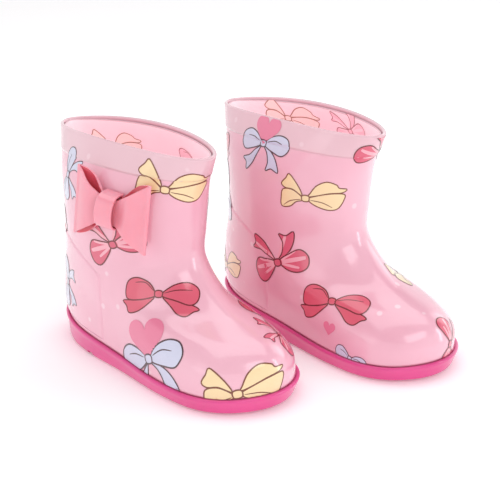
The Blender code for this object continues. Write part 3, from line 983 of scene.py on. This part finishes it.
def draw_motif(art, kind):
    if kind == "yellow":
        draw_bow(art, FLAPPED, "yellow", "yellow_line")
    elif kind == "red":
        draw_bow(art, DROOPED, "red", "red_line")
    elif kind == "striped":
        draw_bow(art, TAILED, "rose", "red_line", up=-1, stripe="rose_pale")
    elif kind == "blue":
        draw_bow(art, LEVEL_TAILED, "blue", "blue_line")
    elif kind == "heart":
        draw_bow(art, LEVEL_TAILED, "blue", "blue_line")
        art.fill([(x, y + 8.6) for x, y in heart(19.0)], "blush", HEART_LIFT)
    elif kind == "dot":
        art.fill(heart(9.0), "blush", FLAP_LIFT)


def place_on_skin(level, angle, directions, lengths):
    """Where walks over the skin end that start at one place, with what fell off the sole line."""
    count = len(lengths)
    level, angle = np.full(count, float(level)), np.full(count, float(angle))
    fallen = np.zeros(count, bool)
    point, heading = skin(level, angle), directions
    for _ in range(WALK_STEPS):
        goal = point + heading * (lengths / WALK_STEPS)[:, None]
        for _ in range(SETTLE_STEPS):
            along, around = slopes(level, angle)
            miss = goal - skin(level, angle)
            aa, ab, bb = (along * along).sum(-1), (along * around).sum(-1), (around * around).sum(-1)
            ma, mb = (miss * along).sum(-1), (miss * around).sum(-1)
            spread = aa * bb - ab * ab
            level = level + (ma * bb - mb * ab) / spread
            angle = angle + (mb * aa - ma * ab) / spread
            fallen |= level < -0.02
            level = np.clip(level, 0.0, COLLAR)
        point = skin(level, angle)
        normal = skin_normal(level, angle)
        heading = unit(heading - normal * (heading * normal).sum(-1, keepdims=True))
    return level, angle, fallen


def lay_motif(boot, gathered, kind, level, degrees, size, tilt, inside=False):
    """Draws a motif and lays it on the boot. tilt, in degrees, lifts its toe-ward end."""
    art = Artwork()
    draw_motif(art, kind)
    angle = math.radians(degrees)
    points = np.array(art.points) * size
    normal = skin_normal(level, angle)
    upward = unit(np.array((0.0, 0.0, 1.0)) - normal * normal[2])
    rightward = np.cross(upward, normal) * -boot.side
    if inside:
        rightward = -rightward
    outer_side = degrees > 180
    toe_on_right = (outer_side == (boot.side < 0)) != inside
    turn = math.radians(tilt if toe_on_right else -tilt)
    x = points[:, 0] * math.cos(turn) - points[:, 1] * math.sin(turn)
    y = points[:, 0] * math.sin(turn) + points[:, 1] * math.cos(turn)
    directions = unit(x[:, None] * rightward + y[:, None] * upward + 1e-9 * rightward)
    level, angle, fallen = place_on_skin(level, angle, directions, np.hypot(x, y))
    lift = np.array(art.lifts)
    if inside:
        height = -(SHELL_WALL + GAP + LINING_WALL) - lift
    else:
        height = relief(level, angle) + lift
    first = len(gathered["points"])
    gathered["points"] += raised(level, angle, height).tolist()
    for face, ink in zip(art.faces, art.inks):
        if all(fallen[corner] for corner in face):
            continue
        gathered["faces"].append(tuple(first + corner for corner in face))
        gathered["inks"].append(ink)


# (motif, level, angle in degrees, size, tilt in degrees)
OUTER_PRINTS = [
    ("yellow", 6.24, 213.5, 1.1, -8),
    ("striped", 4.66, 250, 1.12, 22),
    ("red", 3.42, 229, 1.02, 3),
    ("heart", 0.62, 257, 1.38, 22),
    ("yellow", 0.2, 207, 1.24, 12),
    ("blue", 6.02, 297, 0.82, 84),
    ("blue", 1.95, 318, 0.85, 84),
    ("red", 4.6, 338, 0.9, 14),
]
INNER_PRINTS = [
    ("heart", 6.42, 88, 1.0, 0),
    ("yellow", 5.36, 128, 1.0, 0),
    ("striped", 3.12, 94, 1.12, 22),
    ("red", 2.12, 114, 1.02, 6),
    ("blue", 4.8, 38, 1.0, -80),
    ("red", 6.0, 20, 0.85, 10),
    ("yellow", 1.2, 36, 0.9, 12),
]
RIGHT_EXTRAS = [("striped", 1.72, 145, 0.85, -16)]
LEFT_EXTRAS = [
    ("striped", 6.5, 192, 1.0, 8),
    ("striped", 0.55, 188, 0.95, 100),
    ("dot", 0.85, 110, 1.0, 0),
    ("blue", 0.03, 123, 0.6, -14),
]
LEFT_OUTER_PRINTS = [
    ("striped", 4.4, 238, 1.0, 20),
    ("yellow", 2.6, 230, 1.0, 20),
    ("heart", 0.66, 256, 1.0, 0),
    ("red", 3.0, 269, 0.95, 6),
    ("blue", 6.2, 302, 1.0, 84),
    ("blue", 1.95, 318, 0.95, 84),
    ("red", 5.0, 322, 0.9, 14),
]
INSIDE_PRINTS = {
    "right": [("yellow", 6.2, 40, 0.9, 10), ("red", 6.3, 120, 0.9, 0), ("striped", 6.1, 300, 0.9, 0)],
    "left": [("yellow", 6.5, 303, 1.0, 0), ("striped", 6.5, 250, 0.9, 20), ("red", 6.2, 60, 0.9, 0)],
}


def ink_materials():
    made = {}
    for ink, colour in INKS.items():
        made[ink] = Surface("print_" + ink, colour, 0.22, **PVC_GLOSS).material
        share = 0.6 if ink.endswith("line") else 0.22
        paler = [c * share + f * (1 - share) for c, f in zip(colour, (248, 220, 227))]
        film = Surface("film_" + ink, paler, 0.4, Coat_Weight=0.3, Coat_Roughness=0.2)
        # the inside prints get the same painted glow, an emission standing in for light through the
        # wall
        paint_glow(film)
        made[ink + "_inside"] = film.material
    return made


def prints(boot, name, placements, inks, inside=False):
    gathered = {"points": [], "faces": [], "inks": []}
    for kind, level, degrees, size, tilt in placements:
        lay_motif(boot, gathered, kind, level, degrees, size, tilt, inside)
    faces = gathered["faces"]
    if inside != (boot.side > 0):
        faces = [tuple(reversed(face)) for face in faces]
    piece = boot.mesh(name, gathered["points"], faces, "boot", slot="printed_film")
    used = sorted(set(gathered["inks"]))
    for ink in used:
        piece.data.materials.append(inks[ink + "_inside" if inside else ink])
    slots = [used.index(ink) for ink in gathered["inks"]]
    piece.data.polygons.foreach_set("material_index", slots)


# ---------------------------------------------------------------- light and camera

FLOOR_SIZE = 2.6
FLOOR_GLOW = 0.16
# The surround is white at the horizon and dimmer overhead: (height, strength)
HORIZON, OVERHEAD = (0.38, 1.0), (0.62, 0.36)
AZIMUTH = math.radians(-44.25)
ELEVATION = math.radians(21.15)
DISTANCE = 0.8485
AIM_FROM_MIDDLE = Vector((0.0082, 0.0109, -0.0108))
LENS = 107.2


def set_stage():
    """A pale floor, a pale surround and soft studio light."""
    bpy.ops.mesh.primitive_plane_add(size=FLOOR_SIZE)
    floor = bpy.context.object
    floor.name = "floor"
    paper = Surface("floor_paper", (253, 252, 253), 0.9)
    paper.shader.inputs["Emission Color"].default_value = (1.0, 1.0, 1.0, 1.0)
    paper.shader.inputs["Emission Strength"].default_value = FLOOR_GLOW
    paint(floor, paper.material)
    world = bpy.data.worlds.new("surround")
    world.use_nodes = True
    nodes, links = world.node_tree.nodes, world.node_tree.links
    background = nodes["Background"]
    background.inputs["Color"].default_value = (1.0, 0.99, 0.995, 1.0)
    direction = nodes.new("ShaderNodeTexCoord")
    split = nodes.new("ShaderNodeSeparateXYZ")
    fade = nodes.new("ShaderNodeMapRange")
    fade.interpolation_type = "SMOOTHSTEP"
    fade.inputs["From Min"].default_value = HORIZON[0]
    fade.inputs["From Max"].default_value = OVERHEAD[0]
    fade.inputs["To Min"].default_value = HORIZON[1]
    fade.inputs["To Max"].default_value = OVERHEAD[1]
    links.new(direction.outputs["Generated"], split.inputs["Vector"])
    links.new(split.outputs["Z"], fade.inputs["Value"])
    links.new(fade.outputs["Result"], background.inputs["Strength"])
    bpy.context.scene.world = world
    bpy.context.scene.view_settings.view_transform = "Standard"


def soft_box(name, place, aim, width, height, power):
    data = bpy.data.lights.new(name, "AREA")
    data.shape = "RECTANGLE"
    data.size = width
    data.size_y = height
    data.energy = power
    light = bpy.data.objects.new(name, data)
    bpy.context.scene.collection.objects.link(light)
    light.location = place
    light.rotation_euler = (Vector(aim) - Vector(place)).to_track_quat("-Z", "Y").to_euler()


def set_lights():
    aim = (0.0, 0.0, 0.06)
    soft_box("key", (-0.35, -1.1, 1.15), aim, 0.8, 0.6, 3.4)
    soft_box("top", (0.1, 0.25, 1.5), aim, 1.8, 1.3, 10.5)
    soft_box("strip_right", (0.75, -1.0, 0.45), aim, 0.2, 0.9, 2.0)
    soft_box("side_left", (-1.3, 0.1, 0.6), aim, 0.5, 0.9, 0.9)
    soft_box("side_right", (1.4, -0.1, 0.7), aim, 0.6, 0.9, 1.6)


def set_camera():
    """From the front, 44 degrees round to the right boot's outer side, looking down 21 degrees."""
    low, high = CAD_BOX
    middle = (Vector(low) + Vector(high)) / 2
    target = middle + AIM_FROM_MIDDLE
    back = Vector((
        math.sin(AZIMUTH) * math.cos(ELEVATION),
        -math.cos(AZIMUTH) * math.cos(ELEVATION),
        math.sin(ELEVATION),
    ))
    data = bpy.data.cameras.new("camera")
    data.lens = LENS
    data.sensor_width = 36.0
    camera = bpy.data.objects.new("camera", data)
    bpy.context.scene.collection.objects.link(camera)
    camera.location = target + back * DISTANCE
    camera.rotation_euler = back.to_track_quat("Z", "Y").to_euler()
    bpy.context.scene.camera = camera


# ---------------------------------------------------------------- the pair

def main():
    set_stage()
    set_lights()
    set_camera()
    upper_pvc = upper_material("upper_pvc", UPPER)
    collar_pvc = upper_material("collar_pvc", COLLAR_TINT)
    film, sole_pvc = lining_material(), sole_material()
    # the first bow material, a deeper coral, is painted shade for the strips' inner side and the slit
    # under the knot
    bow_pvc = [bow_material("bow_pvc_inside", (226, 92, 110), (220, 82, 100)),
               bow_material("bow_pvc", (249, 162, 178), (247, 152, 169))]
    foam, cloth, rivet = foam_material(), cloth_material(), rivet_material()
    inks = ink_materials()
    for name, side in (("right", -1), ("left", 1)):
        boot = Boot(name, side)
        upper(boot, (upper_pvc, collar_pvc))
        lining(boot, film, collar_pvc)
        collar_band(boot, collar_pvc)
        heel_panel(boot, upper_pvc)
        sole(boot, sole_pvc)
        insole(boot, foam, cloth)
        bow(boot, bow_pvc)
        if name == "right":
            placements = OUTER_PRINTS + INNER_PRINTS + RIGHT_EXTRAS
        else:
            placements = LEFT_OUTER_PRINTS + INNER_PRINTS + LEFT_EXTRAS
        prints(boot, "prints", placements, inks)
        prints(boot, "prints_inside", INSIDE_PRINTS[name], inks, inside=True)
        for node in ("bow_rivet", "bow_rivet_washer"):
            paint(frame["nodes"][f"{name}_{node}"], rivet)


main()
